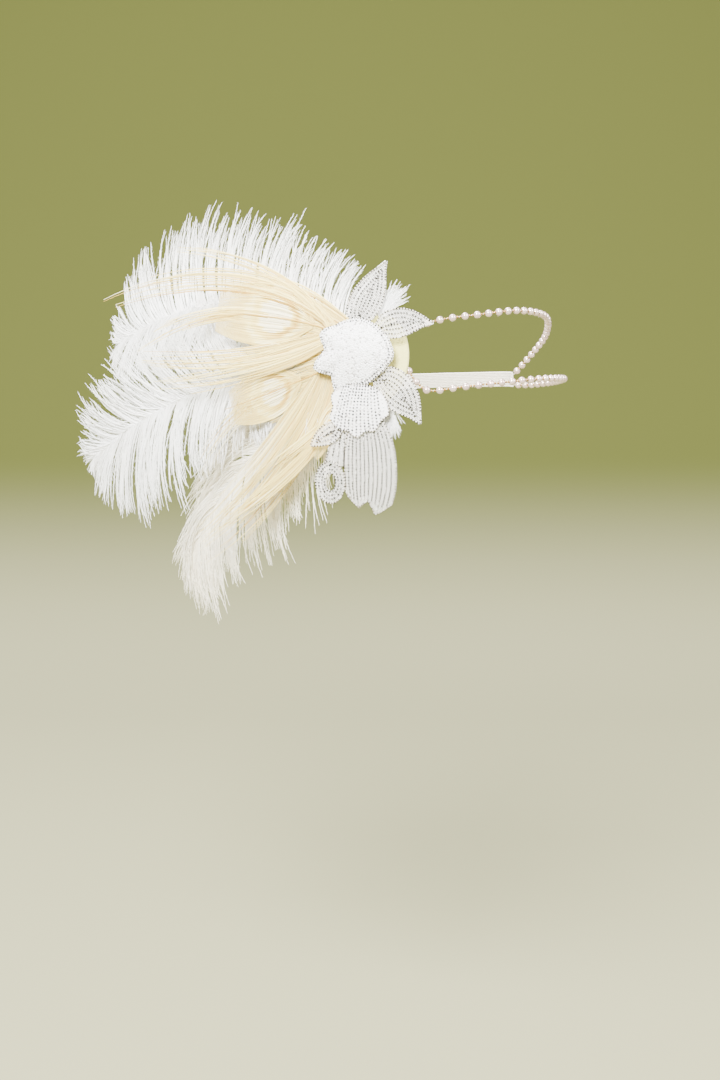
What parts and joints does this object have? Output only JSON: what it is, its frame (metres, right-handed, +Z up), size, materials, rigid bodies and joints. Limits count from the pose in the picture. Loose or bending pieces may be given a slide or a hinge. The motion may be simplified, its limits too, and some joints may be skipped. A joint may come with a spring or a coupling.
{
  "type": "feather headband",
  "caption": "Headband of pearl strands with a beaded flower at the right temple and a swept-back spray of ostrich and peacock feathers, closed by elastic behind.",
  "frame": {"origin": "middle of the head opening, level with the lower strand at the middle of the brow", "axes": "+Z up, -Y toward the wearer's face, -X toward the wearer's right side, where the flower and feathers sit"},
  "size_m": [0.2124, 0.2469, 0.2191],
  "materials": {
    "pearl": "pearl white with a faint pink sheen",
    "elastic": "plain woven ivory elastic",
    "felt": "pale straw felt",
    "ostrich_white": "soft white feather barbs",
    "ostrich_cream": "soft cream feather barbs",
    "bleached_peacock": "straw and ivory herls with a satin sheen",
    "beaded_net": "sheer ivory net with rows of silver-lined beads",
    "glass_beads": "dense white glass seed beads"
  },
  "bodies": {
    "root": {"pearl_strand_upper": "pearl", "pearl_strand_lower": "pearl", "back_elastic": "elastic", "felt_backing": "felt", "ostrich_plume_upper": "ostrich_white", "ostrich_plume_side": "ostrich_white", "ostrich_plume_lower": "ostrich_cream", "peacock_feather_upper": "bleached_peacock", "peacock_feather_middle": "bleached_peacock", "peacock_feather_lower": "bleached_peacock", "marabou_tuft_brow": "ostrich_white", "marabou_tuft_cheek": "ostrich_white", "petal_crown": "beaded_net", "petal_brow": "beaded_net", "petal_cheek": "beaded_net", "petal_drop": "beaded_net", "petal_rear_low": "beaded_net", "petal_scroll": "beaded_net", "flower_centre": "glass_beads", "flower_lower": "glass_beads"}
  },
  "joints": []
}
